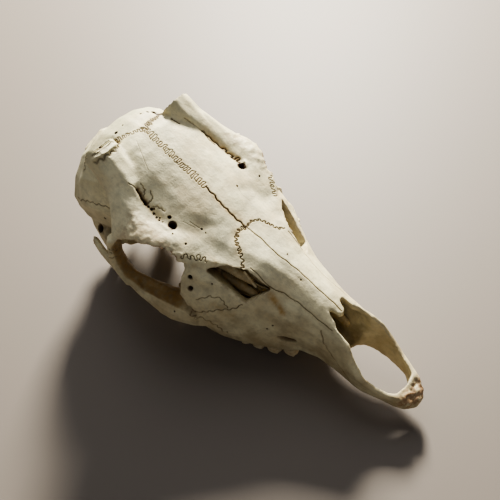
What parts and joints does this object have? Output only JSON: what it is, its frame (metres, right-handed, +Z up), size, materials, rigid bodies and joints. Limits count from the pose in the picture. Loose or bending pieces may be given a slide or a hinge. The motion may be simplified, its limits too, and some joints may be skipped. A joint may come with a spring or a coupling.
{
  "type": "roe deer skull",
  "caption": "Life-size cranium of an adult roe deer buck without its lower jaw, resting on its cheek teeth, with sawn pedicles, open orbits and a broken right zygomatic arch.",
  "frame": {"origin": "on the resting surface, under the middle of the skull's length, in its median plane", "axes": "muzzle towards -Y, the animal's left side towards +X, +Z up from the surface that the cheek teeth rest on"},
  "size_m": [0.0956, 0.2032, 0.0978],
  "materials": {
    "bone": "dry, matt cream bone, greyer on the braincase and browner in the hollows",
    "enamel": "worn cream enamel with brown staining"
  },
  "bodies": {
    "root": {"premaxilla_l": "bone", "premaxilla_r": "bone", "nasal_l": "bone", "nasal_r": "bone", "lacrimal_l": "bone", "lacrimal_r": "bone", "jugal_l": "bone", "jugal_r": "bone", "frontal_l": "bone", "frontal_r": "bone", "maxilla_l": "bone", "maxilla_r": "bone", "temporal_l": "bone", "temporal_r": "bone", "occipital": "bone", "parietal": "bone", "sphenoid": "bone"}
  },
  "joints": []
}
